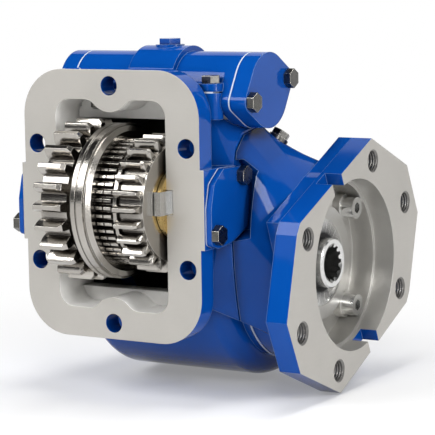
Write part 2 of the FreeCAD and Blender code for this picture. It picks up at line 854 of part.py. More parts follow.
def case_inside():
    wall = s.case_wall
    window = window_space(-1.0, s.tower_front + 2.0)
    link = block("link_space", (-s.window_half_wide, s.window_half_wide), (1.0, out_y - 30.0), (-52.0, 48.0))
    inner_boss = rod("inner_boss", (chamber_left - 1.0, s.shaft_left + s.bearing_wide),
                     s.rear_bearing_radius + wall, out_y, out_z)
    gear_chamber = rod("gear_chamber", (chamber_left, chamber_right), chamber_radius, out_y, out_z)
    chamber = cut("gear_space", gear_chamber, inner_boss)
    upper = block("tower_space", (-s.window_half_wide, s.tower_right - wall),
                  (s.tower_front + 6.0, s.tower_back - 6.0), (0.0, s.deck_height + 1.0))
    fork = padded("fork_space", fork_house_outline(wall), "YZ_Plane", fork_start - s.slide_travel - 2.0,
                  s.fork_thick + s.slide_travel + 4.0)
    saddle = rod("saddle", (s.case_left - 20.0, s.pump_face), s.shift_radius + s.saddle_gap, s.shift_y,
                 s.shift_z)
    right = s.shift_right - s.ear_long - 0.5
    left = s.shift_left + s.ear_long + 0.5
    ears = [eared_disc("ear_room_right", right, s.pump_face, s.saddle_gap),
            eared_disc("ear_room_left", s.case_left - 30.0, left, s.saddle_gap)]
    return [window, link, chamber, upper, fork, saddle, *ears]


def case_holes():
    wall = s.case_wall
    holes = []
    spots = [(0.0, s.end_hole_z), (0.0, -s.end_hole_z)]
    spots += [(x, z) for x in (-s.side_hole_x, s.side_hole_x) for z in (-s.side_hole_z, s.side_hole_z)]
    for index, (x, z) in enumerate(spots):
        holes.append(bore_y(f"mount_hole_{index}", (-1.0, s.flange_thick + 1.0), s.bolt_hole_radius, x, z))
    holes.append(rod("idler_bore", (-s.pad_half_wide - 1.0, s.pad_half_wide + 1.0), s.idler_radius,
                     s.idler_y, s.idler_z))
    rear_seat = (s.case_left - 5.0, s.shaft_left + s.bearing_wide)
    holes.append(rod("rear_seat", rear_seat, s.rear_bearing_radius, out_y, out_z))
    shaft_pass = (chamber_right - 1.0, s.joint_face + 1.0)
    holes.append(rod("shaft_pass", shaft_pass, s.spline_tip + 3.0, out_y, out_z))
    for index, (y, z) in enumerate(socket_screw_places()):
        holes.append(rod(f"flange_tap_{index}", (s.joint_face - s.screw_bite - 1.0, s.joint_face + 1.0),
                         s.socket_screw_radius, y, z))
    for index, (x, y) in enumerate(lug_places()):
        holes.append(post(f"lug_tap_{index}", (s.deck_height - s.small_bolt_bite - 1.0, s.deck_height + 1.0),
                          s.small_bolt_radius, x, y))
    for side in (-1, 1):
        for index, (y, z) in enumerate(side_plate_spots()):
            ends = sorted((side * (s.pad_half_wide - s.small_bolt_bite), side * (s.pad_half_wide + 1.0)))
            holes.append(rod(f"plate_tap_{index}_{'left' if side < 0 else 'right'}", ends,
                             s.small_bolt_radius, y, z))
    for index, (y, z) in enumerate(rear_bolt_places()):
        rear_tap = (s.case_left - 5.0, s.case_left + 3.5)
        holes.append(rod(f"rear_tap_{index}", rear_tap, s.small_bolt_radius, y, z))
    notch = (s.window_half_wide - 1.0, s.window_half_wide + s.lock_lip + s.lock_gap)
    notch_high = (lock_low - s.lock_gap, lock_high + s.lock_gap)
    holes.append(block("lock_notch", notch, (-1.0, s.lock_deep), notch_high))
    return holes


def case():
    hollow = cut("case_hollow", case_outside(), *case_inside())
    piece(cut("case", hollow, *case_holes()), "case")


# Places that several pieces share

def socket_screw_places():
    return [(out_y + s.socket_screw_circle * math.cos(math.radians(turn)),
             out_z + s.socket_screw_circle * math.sin(math.radians(turn))) for turn in (45, 135, 225, 315)]


def rear_bolt_places():
    return [(out_y + s.rear_bolt_circle * math.cos(math.radians(turn)),
             out_z + s.rear_bolt_circle * math.sin(math.radians(turn))) for turn in (0, 90, 180, 270)]


def side_plate_spots():
    """The two screws of each side plate, either side of the plate's middle."""
    return [(s.idler_y + 22.0, s.idler_z + 15.3), (s.idler_y - 6.5, s.idler_z - 15.5)]


def cap_bolt_place(side):
    y = s.shift_y + side * s.cap_bolt_offset * cosine(s.cap_tilt)
    z = s.shift_z + side * s.cap_bolt_offset * sine(s.cap_tilt)
    return y, z


# Pump flange

def pump_outline(thick_side=False):
    flat = s.pump_flat_half
    half = [
        (flat, s.pump_half_wide),
        (s.pump_half_long - 1.3, s.pump_shoulder),
        (s.pump_half_long, -s.pump_chin),
        (s.pump_corner_p, -s.pump_corner_q),
        (flat, -s.pump_half_wide),
    ]
    if thick_side:
        return [(flat, s.pump_half_wide), (s.pump_half_long - 1.3, s.pump_shoulder), (s.pilot_radius, 0.0),
                (-s.pilot_radius, 0.0), (-flat, s.pump_half_wide - 1.0)]
    return half + [(-p, -q) for p, q in half]


def pump_flange():
    plate = padded("pump_plate", pump_outline(), "YZ_Plane", pump_back, s.pump_flange_thick)
    top = padded("pump_top", pump_outline(True), "YZ_Plane", s.pump_face - s.pump_top_thick,
                 s.pump_top_thick - 1.0)
    neck = document.addObject("Part::Cut", "pump_neck")
    neck.Base = feature("neck_right", neck_loft())
    neck.Tool = block("neck_trim_left", (-BEYOND, neck_start), ALL_ACROSS, ALL_ACROSS)
    saddle = eared_disc("pump_saddle", 0.0, s.pump_face, 1.0)
    cover_room = padded("side_cover_room", grown(side_plate_outline(), s.cover_room), "YZ_Plane",
                        neck_start - 1.0, s.side_plate_thick + s.small_head_high + s.cover_room / 2)
    collar = rod("pump_collar", (neck_start, pump_back + 1.0), s.neck_radius, out_y, out_z)
    turned_parts = joined("pump_turned", plate, top)
    place(turned_parts, 0.0, out_y, out_z, (1, 0, 0), s.pump_turn)
    outside = joined("pump_outside", turned_parts, cut("pump_neck_cleared", neck, saddle, cover_room), collar)
    pocket = rod("pump_pocket", (s.floor_face, s.pump_face + 1.0), s.pocket_radius, out_y, out_z)
    pilot = rod("pump_pilot", (s.pump_face - s.pilot_deep, s.pump_face + 1.0), s.pilot_radius, out_y, out_z)
    notches = [block(f"notch_{index}", (s.pump_face - s.notch_deep, s.pump_face + 1.0),
                     (-s.notch_wide / 2, s.notch_wide / 2), ends)
               for index, ends in enumerate(((s.pilot_radius - 6.0, s.pump_half_wide + 2.0),
                                             (-s.pump_half_wide - 2.0, 6.0 - s.pilot_radius)))]
    holes = []
    for radius, turns in ((s.four_bolt_radius, (45, 135, 225, 315)), (s.two_bolt_radius, (0, 180))):
        for turn in turns:
            y = radius * math.cos(math.radians(turn))
            z = radius * math.sin(math.radians(turn))
            name = f"pump_hole_{turn}"
            holes.append(rod(name, (pump_back - 1.0, s.pump_face + 1.0), s.pump_hole_radius, y, z))
            mouth = document.addObject("Part::Cone", name + "_mouth")
            place(mouth, s.pump_face - (s.pump_hole_mouth - s.pump_hole_radius), y, z, (0, 1, 0), 90)
            bind(mouth, "Radius1", s.pump_hole_radius)
            bind(mouth, "Radius2", s.pump_hole_mouth + 0.1)
            bind(mouth, "Height", s.pump_hole_mouth - s.pump_hole_radius + 0.1)
            holes.append(mouth)
    patterned = joined("pump_cuts", *notches, *holes)
    place(patterned, 0.0, out_y, out_z, (1, 0, 0), s.pump_turn)
    shell = cut("pump_shell", outside, pocket, pilot, patterned)
    rim = rod("pump_rim", (s.floor_face - 1.0, s.rim_face), s.rim_radius, out_y, out_z)
    bosses = [rod(f"screw_boss_{index}", (s.floor_face - 1.0, s.rim_face), s.screw_boss_radius, y, z)
              for index, (y, z) in enumerate(socket_screw_places())]
    passed = (neck_start - 1.0, s.rim_face + 1.0)
    screw_holes = [rod(f"screw_pass_{index}", passed, s.socket_screw_radius, y, z)
                   for index, (y, z) in enumerate(socket_screw_places())]
    seat = rod("front_seat", (neck_start - 1.0, s.shoulder_end + s.bearing_wide), s.front_bearing_radius,
               out_y, out_z)
    ledge = rod("seal_ledge_bore", (s.shoulder_end + s.bearing_wide - 1.0, s.rim_face + 1.0), s.seal_ledge,
                out_y, out_z)
    seal_start = s.rim_face - s.seal_wide - 0.5
    seal_bore = rod("seal_bore", (seal_start, s.rim_face + 1.0), s.seal_radius, out_y, out_z)
    bossed = joined("pump_bossed", shell, rim, *bosses)
    thing = cut("pump_flange", bossed, *screw_holes, seat, ledge, seal_bore)
    piece(thing, "pump_flange")


def flange_gasket():
    outline = ring("flange_gasket_ring", (s.joint_face, neck_start), s.front_bearing_radius + 2.0,
                   s.neck_radius + 0.6, out_y, out_z)
    holes = [rod(f"gasket_pass_{index}", (s.joint_face - 1.0, neck_start + 1.0), s.socket_screw_radius + 0.5,
                 y, z) for index, (y, z) in enumerate(socket_screw_places())]
    piece(cut("flange_gasket", outline, *holes), "flange_gasket")


def flange_screws():
    screws = []
    top = s.rim_face + s.socket_head_high
    for index, (y, z) in enumerate(socket_screw_places()):
        head = rod(f"socket_head_{index}", (s.rim_face, top), s.socket_head_radius, y, z)
        shank = rod(f"socket_shank_{index}", (s.joint_face - s.screw_bite, s.rim_face + 1.0),
                    s.socket_screw_radius, y, z)
        key = hexagon(f"socket_key_{index}", (s.rim_face + 3.0, top + 1.0), s.socket_key_radius, y, z)
        screws.append(cut(f"flange_screw_{index}", joined(f"screw_body_{index}", head, shank), key))
    piece(group("flange_screws", *screws), "flange_screws")


# Idler shaft, washers and side plates

def idler_shaft():
    piece(turned("idler_shaft", [
        (-s.pad_half_wide, 0.0),
        (s.pad_half_wide, 0.0),
        (s.pad_half_wide, s.idler_radius - 1.0),
        (s.pad_half_wide - 1.0, s.idler_radius),
        (1.0 - s.pad_half_wide, s.idler_radius),
        (-s.pad_half_wide, s.idler_radius - 1.0),
    ], s.idler_y, s.idler_z), "idler_shaft")


def thrust_washers():
    inner = s.idler_radius
    left = ring("thrust_washer_left", (-s.window_half_wide, s.washer_thick - s.window_half_wide), inner,
                s.washer_radius, s.idler_y, s.idler_z)
    piece(left, "thrust_washer_left")
    right = ring("thrust_washer_right", (s.window_half_wide - s.washer_thick, s.window_half_wide), inner,
                 s.washer_radius, s.idler_y, s.idler_z)
    piece(right, "thrust_washer_right")


def washer_lock():
    """A bent steel clip over the edge of the right washer, held in a notch of the mounting face."""
    z = (lock_low, lock_high)
    front = s.idler_y - s.washer_radius - s.lock_gap
    wall = s.window_half_wide
    cover = block("lock_cover", (wall - s.washer_thick, wall + 1.8), (front - 1.5, front), z)
    leg = block("lock_leg", (wall + 0.3, wall + 1.8), (front - 1.5, s.lock_deep), z)
    lip = block("lock_lip", (wall + 1.0, wall + s.lock_lip), (0.1, s.lock_deep), z)
    piece(joined("washer_lock", cover, leg, lip), "washer_lock")


def side_plate_outline():
    """A plate with a straight rear edge and a slanted low edge, seen along X."""
    low = -s.pad_half_tall
    back = s.pad_deep - 3.0
    return [(1.0, low + 3.0), (8.0, low + 0.5), (24.0, low + 2.5), (back - 3.0, low + 9.0), (back, 0.0),
            (back + 0.5, 13.0), (back - 8.0, 22.0), (15.0, 22.3), (4.5, 14.5), (1.0, 1.0)]


def grown(outline, room):
    """The same outline with its corners moved out from its middle."""
    middle = s.pad_deep / 2
    share = room / s.pad_half_tall + 1.0
    return [(middle + (y - middle) * share, z * share) for y, z in outline]


def side_covers():
    for node, side in (("left", -1), ("right", 1)):
        if side > 0:
            gasket = s.pad_half_wide
            plate = side_cover_face
        else:
            gasket = -side_cover_face
            plate = -side_cover_face - s.side_plate_thick
        body = padded(f"plate_{node}_body", side_plate_outline(), "YZ_Plane", plate, s.side_plate_thick)
        sheet_body = padded(f"gasket_{node}_body", side_plate_outline(), "YZ_Plane", gasket,
                            s.side_gasket_thick)
        names = ("side_plate_" + node, "side_gasket_" + node)
        for name, thing in zip(names, (rounded(f"plate_{node}_round", body, 3.0, (1, 0, 0)),
                                       rounded(f"gasket_{node}_round", sheet_body, 3.0, (1, 0, 0)))):
            holes = [rod(f"{name}_hole_{index}", ALL_ACROSS, s.small_bolt_radius + 0.3, y, z)
                     for index, (y, z) in enumerate(side_plate_spots())]
            piece(cut(name, thing, *holes), name)


def side_plate_screws():
    screws = []
    outer = side_cover_face + s.side_plate_thick
    for side in (-1, 1):
        for index, (y, z) in enumerate(side_plate_spots()):
            tag = f"{'left' if side < 0 else 'right'}_{index}"
            head_ends = sorted((side * outer, side * (outer + s.small_head_high)))
            shank_ends = sorted((side * (s.pad_half_wide - s.small_bolt_bite + 0.5), side * (outer + 1.0)))
            head = hexagon("plate_head_" + tag, head_ends, s.small_head_radius, y, z)
            shank = rod("plate_shank_" + tag, shank_ends, s.small_bolt_radius, y, z)
            screws.append(joined("plate_screw_" + tag, head, shank))
    piece(group("side_plate_screws", *screws), "side_plate_screws")


# Shift housing and its caps

def eared_disc(name, start, end, room=0.0):
    """A round disc with two bolt ears, joined by straight flanks that touch both rounds."""
    lean = arc_cosine((s.shift_radius - s.cap_ear_radius) / s.cap_bolt_offset)
    disc = s.shift_radius + room
    ear = s.cap_ear_radius + room
    near = (disc * cosine(lean), disc * sine(lean))
    far = (s.cap_bolt_offset + ear * cosine(lean), ear * sine(lean))
    outline = [near, far, (far[0], -far[1]), (near[0], -near[1])]
    outline += [(-y, -z) for y, z in outline]
    flanks = padded(name + "_flanks", outline, "YZ_Plane", start, end - start, s.shift_y, s.shift_z, s.cap_tilt)
    parts = [rod(name + "_disc", (start, end), disc, s.shift_y, s.shift_z), flanks]
    for index, side in enumerate((-1, 1)):
        y, z = cap_bolt_place(side)
        parts.append(rod(f"{name}_ear_{index}", (start, end), ear, y, z))
    return joined(name + "_whole", *parts)


def cap_holes(name, start, end, radius):
    return [rod(f"{name}_bolt_{index}", (start, end), radius, *cap_bolt_place(side))
            for index, side in enumerate((-1, 1))]


def shift_housing():
    tube = rod("shift_tube", (s.shift_left, s.shift_right), s.shift_radius, s.shift_y, s.shift_z)
    swell = rod("shift_swell_band", (s.swell_left, s.swell_right), s.shift_swell, s.shift_y, s.shift_z)
    swell_trim = block("swell_trim", ALL_ACROSS, ALL_ACROSS, (-BEYOND, lug_face))
    swell_top = cut("swell_top", swell, swell_trim)
    boss_top = s.shift_z + s.shift_swell + s.plug_boss_high
    boss = post("plug_boss", (s.shift_z + 10.0, boss_top), s.plug_radius + 1.5,
                (s.swell_left + s.swell_right) / 2, s.shift_y)
    left_end = eared_disc("left_end", s.shift_left, s.shift_left + s.ear_long)
    right_end = eared_disc("right_end", s.shift_right - s.ear_long, s.shift_right)
    lugs = [post(f"lug_{index}", (lug_face, lug_face + s.lug_high), s.lug_radius, x, y)
            for index, (x, y) in enumerate(lug_places())]
    base = block("shift_base", (s.lug_left, s.lug_right - 5.0), (s.lug_front, s.lug_back),
                 (lug_face, lug_face + 4.0))
    outside = joined("shift_outside", tube, swell_top, boss, left_end, right_end, base, *lugs)
    fork_room = block("fork_room", (s.cavity_left, s.bulkhead_left), (s.shift_y - 14.0, s.shift_y + 14.0),
                      (0.0, s.shift_z + 4.0))
    fork_round = rod("fork_round", (s.cavity_left, s.bulkhead_left), 14.0, s.shift_y, s.shift_z + 4.0)
    arm_room = block("arm_room", (s.cavity_left, s.bulkhead_left), (s.shift_y, s.shift_y + 24.0),
                     (0.0, s.shift_z - 7.0))
    above_lugs = (lug_face + s.lug_high, lug_face + 20.0)
    head_rooms = [post(f"head_room_{index}", above_lugs, s.small_head_radius + 0.5, x, y)
                  for index, (x, y) in enumerate(lug_places())]
    rod_bore = rod("rod_bore", (s.shift_left - 1.0, s.shift_right), s.rod_radius + s.rod_gap, s.shift_y,
                   s.shift_z)
    bore = rod("cylinder_space", (s.bulkhead_right, s.shift_right + 1.0), s.cylinder_bore, s.shift_y,
               s.shift_z)
    taps = cap_holes("left_tap", s.shift_left - 1.0, s.shift_left + s.ear_long - 0.5, s.small_bolt_radius)
    taps += cap_holes("right_tap", s.shift_right - s.ear_long + 0.5, s.shift_right + 1.0, s.small_bolt_radius)
    passes = [post(f"lug_pass_{index}", (lug_face - 1.0, lug_face + s.lug_high + 1.0),
                   s.small_bolt_radius + 0.3, x, y) for index, (x, y) in enumerate(lug_places())]
    plug_tap = post("plug_tap", (s.shift_z, s.shift_z + s.shift_swell + 2.0), s.plug_radius - 2.0,
                    (s.swell_left + s.swell_right) / 2, s.shift_y)
    thing = cut("shift_housing", outside, fork_room, fork_round, arm_room, *head_rooms, rod_bore, bore, *taps,
                *passes, plug_tap)
    piece(thing, "shift_housing")


def shift_gasket():
    """Two strips under the feet of the shift housing."""
    z = (s.deck_height, lug_face)
    inner = s.shift_radius + s.saddle_gap
    pads = [post(f"gasket_pad_{index}", z, s.lug_radius, x, y) for index, (x, y) in enumerate(lug_places())]
    strip = block("gasket_strip", (s.lug_left, s.lug_right - 5.0), (s.lug_front, s.lug_back), z)
    trough = block("gasket_trough", ALL_ACROSS, (s.shift_y - inner, s.shift_y + inner), ALL_ACROSS)
    sides = cut("gasket_sides", joined("gasket_sheet", strip, *pads), trough)
    end = block("gasket_end", (s.shift_right - s.ear_long - 0.3, BEYOND), ALL_ACROSS, ALL_ACROSS)
    through = (s.deck_height - 1.0, lug_face + 1.0)
    holes = [post(f"gasket_hole_{index}", through, s.small_bolt_radius + 0.3, x, y)
             for index, (x, y) in enumerate(lug_places())]
    piece(cut("shift_gasket", cut("gasket_ended", sides, end), *holes), "shift_gasket")


def shift_bolts():
    bolts = []
    top = lug_face + s.lug_high
    foot = s.deck_height - s.small_bolt_bite
    for index, (x, y) in enumerate(lug_places()):
        head = hexagon(f"lug_head_{index}", x, s.small_head_radius, y, (top, top + s.small_head_high), "Z")
        shank = post(f"lug_shank_{index}", (foot, top + 1.0), s.small_bolt_radius, x, y)
        bolts.append(joined(f"shift_bolt_{index}", head, shank))
    piece(group("shift_bolts", *bolts), "shift_bolts")


def top_plug():
    x = (s.swell_left + s.swell_right) / 2
    seat = s.shift_z + s.shift_swell + s.plug_boss_high
    head = hexagon("plug_head", x, s.plug_radius, s.shift_y, (seat, seat + s.plug_high), "Z")
    stem = post("plug_stem", (seat - 9.0, seat + 1.0), s.plug_radius - 2.0, x, s.shift_y)
    piece(joined("top_plug", head, stem), "top_plug")


def bolted_disc(node, start, end, centre_bore):
    """One of the pieces at the ends of the cylinder: a cap, or a gasket with a bore."""
    tools = cap_holes(node, start - 1.0, end + 1.0, s.small_bolt_radius + 0.3)
    if centre_bore:
        tools.append(rod(node + "_bore", (start - 1.0, end + 1.0), centre_bore, s.shift_y, s.shift_z))
    piece(cut(node, eared_disc(node, start, end), *tools), node)


def cylinder_ends():
    bolted_disc("cap_gasket_right", s.shift_right, shift_cap, s.cylinder_bore)
    bolted_disc("end_cap_right", shift_cap, shift_cap + s.cap_thick, None)
    bolted_disc("cap_gasket_left", shift_back, s.shift_left, s.rod_radius + 4.0)
    bolted_disc("end_cap_left", shift_back - s.cap_thick, shift_back, None)


def end_cap_bolts():
    bolts = []
    right = shift_cap + s.cap_thick
    left = shift_back - s.cap_thick
    bite = s.ear_long - 1.0
    ends = (("right", (right, right + s.small_head_high), (s.shift_right - bite, right + 1.0)),
            ("left", (left - s.small_head_high, left), (left - 1.0, s.shift_left + bite)))
    for index, side in enumerate((-1, 1)):
        y, z = cap_bolt_place(side)
        for tag, head_ends, shank_ends in ends:
            head = hexagon(f"cap_head_{tag}_{index}", head_ends, s.small_head_radius, y, z)
            shank = rod(f"cap_shank_{tag}_{index}", shank_ends, s.small_bolt_radius, y, z)
            bolts.append(joined(f"cap_bolt_{tag}_{index}", head, shank))
    piece(group("end_cap_bolts", *bolts), "end_cap_bolts")


# Shift group that slides

def piston():
    start = s.piston_rest
    end = start + s.piston_long
    outer = s.cylinder_bore - 0.4
    groove = start + s.piston_pocket - 1.0
    piece(turned("piston", [
        (start, outer - 4.0),
        (start + s.piston_pocket, outer - 4.0),
        (start + s.piston_pocket, s.rod_radius),
        (end, s.rod_radius),
        (end, outer),
        (groove + 2.5, outer),
        (groove + 2.5, outer - 2.0),
        (groove, outer - 2.0),
        (groove, outer),
        (start, outer),
    ], s.shift_y, s.shift_z), "piston")
    piece(ring("piston_ring", (groove, groove + 2.5), outer - 2.0, s.cylinder_bore - 0.2, s.shift_y,
               s.shift_z), "piston_ring")


def shift_rod():
    end = s.piston_rest + s.piston_long
    piece(turned("shift_rod", [
        (s.rod_left, 0.0),
        (end - 0.5, 0.0),
        (end - 0.5, s.rod_radius),
        (s.rod_left + 1.0, s.rod_radius),
        (s.rod_left, s.rod_radius - 1.0),
    ], s.shift_y, s.shift_z), "shift_rod")


def fork_turn():
    angle = math.degrees(math.atan2(out_y - s.shift_y, s.shift_z - out_z))
    return Size(angle, f"atan2({(out_y - s.shift_y).text}; {(s.shift_z - out_z).text})")


def fork_reach():
    reach = math.hypot(out_y - s.shift_y, s.shift_z - out_z)
    return Size(reach, f"hypot({(out_y - s.shift_y).text}; {(s.shift_z - out_z).text})")


def shift_fork():
    reach = fork_reach()
    end = fork_start + s.fork_thick
    hub = rod("fork_hub", (end - s.fork_hub_long, end), s.fork_hub_radius, 0.0, reach)
    claw = rod("fork_claw", (fork_start, end), s.fork_outer)
    arm = padded("fork_arm", [(-14.0, 20.0), (14.0, 20.0), (8.0, reach), (-8.0, reach)], "YZ_Plane",
                 fork_start, s.fork_thick)
    rod_hole = rod("fork_rod_hole", (end - s.fork_hub_long - 1.0, end + 1.0), s.rod_radius, 0.0, reach)
    throat = rod("fork_throat", (fork_start - 1.0, end + 1.0), s.groove_radius + s.fork_gap)
    open_side = block("fork_open", (fork_start - 1.0, end + 1.0), (-60.0, 60.0), (-60.0, -3.0))
    thing = cut("shift_fork", joined("fork_solid", hub, claw, arm), rod_hole, throat, open_side)
    place(thing, 0.0, out_y, out_z, (1, 0, 0), fork_turn())
    piece(thing, "shift_fork")


def return_spring():
    """A coil of six-sided wire in short straight runs, round the rod between the bulkhead and the piston."""
    wire = float(s.spring_wire)
    start = s.bulkhead_right + wire + 0.2
    long = s.piston_rest + s.piston_pocket - wire - 0.2 - start
    radius = (s.rod_radius + s.cylinder_bore - 4.4) / 2
    runs = int(s.spring_turns * 12)
    points = []
    for index in range(runs + 1):
        angle = 2 * math.pi * index / 12
        points.append(vector(radius * math.cos(angle), radius * math.sin(angle), long * index / runs))
    along = (points[1] - points[0]).normalize()
    across = along.cross(vector(1, 0, 0)).normalize()
    inward = across.cross(along).normalize()
    corners = []
    for index in range(6):
        angle = math.pi * index / 3
        corners.append(points[0] + inward * wire * math.cos(angle) + across * wire * math.sin(angle))
    section = Part.makePolygon(corners + corners[:1])
    coil = Part.makePolygon(points).makePipeShell([section], True, False, 1)
    thing = feature("return_spring", coil)
    place(thing, start, s.shift_y, s.shift_z, (0, 1, 0), 90)
    piece(thing, "return_spring")


# Rear cover

def rear_cover():
    face = s.case_left - 4.0
    gasket = ring("rear_gasket_ring", (face - s.gasket_thick, face), s.rear_bearing_radius,
                  s.rear_cover_radius, out_y, out_z)
    holes = [rod(f"rear_gasket_pass_{index}", (face - 2.0, face + 1.0), s.small_bolt_radius + 0.3, y, z)
             for index, (y, z) in enumerate(rear_bolt_places())]
    piece(cut("rear_gasket", gasket, *holes), "rear_gasket")
    outer = face - s.gasket_thick
    left = outer - s.rear_cover_thick
    disc = turned("rear_cover_disc", [
        (left, 0.0),
        (s.shaft_left - 1.0, 0.0),
        (s.shaft_left - 1.0, s.tail_radius + 4.0),
        (s.shaft_left, s.tail_radius + 10.0),
        (s.shaft_left, s.rear_bearing_radius),
        (outer, s.rear_bearing_radius),
        (outer, s.rear_cover_radius),
        (left + 3.0, s.rear_cover_radius),
        (left + 1.0, s.rear_cover_radius - 3.0),
        (left + 1.0, 20.0),
        (left, 18.0),
    ], out_y, out_z)
    passes = [rod(f"rear_pass_{index}", (left - 1.0, outer + 1.0), s.small_bolt_radius + 0.3, y, z)
              for index, (y, z) in enumerate(rear_bolt_places())]
    piece(cut("rear_cover", disc, *passes), "rear_cover")
    bolts = []
    head_ends = (left + 1.0 - s.small_head_high, left + 1.0)
    for index, (y, z) in enumerate(rear_bolt_places()):
        head = hexagon(f"rear_head_{index}", head_ends, s.small_head_radius, y, z)
        shank = rod(f"rear_shank_{index}", (left, s.case_left + 3.0), s.small_bolt_radius, y, z)
        bolts.append(joined(f"rear_bolt_{index}", head, shank))
    piece(group("rear_cover_screws", *bolts), "rear_cover_screws")


def build_all():
    cluster_hub()
    needle_rollers()
    input_gear()
    collar_ring()
    dog_sleeve()
    drive_gear()
    output_shaft()
    sliding_gear()
    bearing("front_bearing", s.shoulder_end, s.seat_radius, s.front_bearing_radius)
    bearing("rear_bearing", s.shaft_left, s.tail_radius, s.rear_bearing_radius)
    output_seal()
    case()
    pump_flange()
    flange_gasket()
    flange_screws()
    idler_shaft()
    thrust_washers()
    washer_lock()
    side_covers()
    side_plate_screws()
    shift_housing()
    shift_gasket()
    shift_bolts()
    top_plug()
    cylinder_ends()
    end_cap_bolts()
    piston()
    shift_rod()
    shift_fork()
    return_spring()
    rear_cover()


def check_and_write():
    document.recompute()
    for thing in document.Objects:
        if {"Invalid", "Error"} & set(thing.State):
            raise RuntimeError(f"{thing.Name} did not compute: {thing.State}")
    os.makedirs("parts", exist_ok=True)
    for thing in PIECES:
        shape = thing.Shape
        if shape.isNull() or not shape.isValid() or not shape.Solids:
            raise RuntimeError(f"{thing.Label} has no valid solid")
        shape.exportStep(f"parts/{thing.Label}.step")
        print(thing.Label, len(shape.Solids), round(shape.Volume), [round(v, 1) for v in (
            shape.BoundBox.XMin, shape.BoundBox.XMax, shape.BoundBox.YMin, shape.BoundBox.YMax,
            shape.BoundBox.ZMin, shape.BoundBox.ZMax)])


build_all()
check_and_write()
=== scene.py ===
import math

import bpy
from mathutils import Matrix, Vector


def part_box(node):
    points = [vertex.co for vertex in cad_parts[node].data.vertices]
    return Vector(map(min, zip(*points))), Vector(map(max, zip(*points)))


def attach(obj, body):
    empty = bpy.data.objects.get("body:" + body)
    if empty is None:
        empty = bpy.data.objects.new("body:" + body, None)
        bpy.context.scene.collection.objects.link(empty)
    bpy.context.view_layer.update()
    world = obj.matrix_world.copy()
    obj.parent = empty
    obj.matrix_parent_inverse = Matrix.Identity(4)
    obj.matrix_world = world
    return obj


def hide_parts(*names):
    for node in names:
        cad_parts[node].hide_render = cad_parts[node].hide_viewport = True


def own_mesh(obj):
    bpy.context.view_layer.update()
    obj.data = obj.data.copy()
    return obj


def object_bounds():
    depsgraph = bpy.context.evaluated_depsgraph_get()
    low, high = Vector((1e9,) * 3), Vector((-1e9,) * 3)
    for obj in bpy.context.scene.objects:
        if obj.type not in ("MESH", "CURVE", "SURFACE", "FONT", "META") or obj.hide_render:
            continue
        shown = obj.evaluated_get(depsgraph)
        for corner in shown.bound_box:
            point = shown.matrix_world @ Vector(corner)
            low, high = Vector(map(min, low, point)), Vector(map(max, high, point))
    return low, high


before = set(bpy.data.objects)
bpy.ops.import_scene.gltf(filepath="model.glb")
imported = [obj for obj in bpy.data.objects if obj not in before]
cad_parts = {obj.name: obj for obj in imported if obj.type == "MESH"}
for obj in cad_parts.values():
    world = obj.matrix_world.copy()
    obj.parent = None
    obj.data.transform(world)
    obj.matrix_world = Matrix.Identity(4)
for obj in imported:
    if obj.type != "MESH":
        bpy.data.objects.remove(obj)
cad_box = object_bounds()
for item in bpy.context.selected_objects:
    item.select_set(False)


# The camera stands where the photograph was taken from: in front of the mounting face, to the right
# of it and a little above. It uses a long lens, as for a catalogue picture.
CAMERA_PLACE = (0.62131, -0.91805, 0.13453)
CAMERA_TURN = 30.96  # degrees round the part, from straight in front of the mounting face
CAMERA_FALL = 7.33  # degrees that it looks down
CAMERA_LEAN = -0.9  # degrees that it leans to one side
camera_data = bpy.data.cameras.new("photo_camera")
camera_data.sensor_width = 36.0
camera_data.lens = 161.7
camera_data.clip_end = 20.0
camera = bpy.data.objects.new("photo_camera", camera_data)
bpy.context.collection.objects.link(camera)
turn = Matrix.Rotation(math.radians(CAMERA_TURN), 4, "Z")
tilt = Matrix.Rotation(math.radians(90.0 - CAMERA_FALL), 4, "X")
lean = Matrix.Rotation(math.radians(CAMERA_LEAN), 4, "Z")
camera.matrix_world = Matrix.Translation(CAMERA_PLACE) @ turn @ tilt @ lean
bpy.context.scene.camera = camera


# The studio: a pale floor under the part, a white room, dark cards and four soft boxes. The room and
# the far floor are white where they are looked at or mirrored, and the cards give the metal and the
# enamel something dark to mirror.
class Tone:
    """One value in a material. Sums and products of it add the nodes that work them out."""

    def __init__(self, tree, socket):
        self.tree = tree
        self.socket = socket

    def math(self, operation, *others, clamp=False):
        node = self.tree.nodes.new("ShaderNodeMath")
        node.operation = operation
        node.use_clamp = clamp
        for place, value in zip(node.inputs, (self, *others)):
            if isinstance(value, Tone):
                self.tree.links.new(value.socket, place)
            else:
                place.default_value = value
        return Tone(self.tree, node.outputs[0])

    def __add__(self, other):
        return self.math("ADD", other)

    def __radd__(self, other):
        return self.math("ADD", other)

    def __sub__(self, other):
        return self.math("SUBTRACT", other)

    def __rsub__(self, other):
        return (self * -1.0).math("ADD", other)

    def __mul__(self, other):
        return self.math("MULTIPLY", other)

    def __rmul__(self, other):
        return self.math("MULTIPLY", other)

    def __pow__(self, other):
        return self.math("POWER", other)

    def held(self):
        """The value kept between 0 and 1."""
        return self.math("ADD", 0.0, clamp=True)

    def step(self, start, end):
        """0 below start and 1 above end, and a straight climb between."""
        return ((self - start) * (1.0 / (end - start))).held()


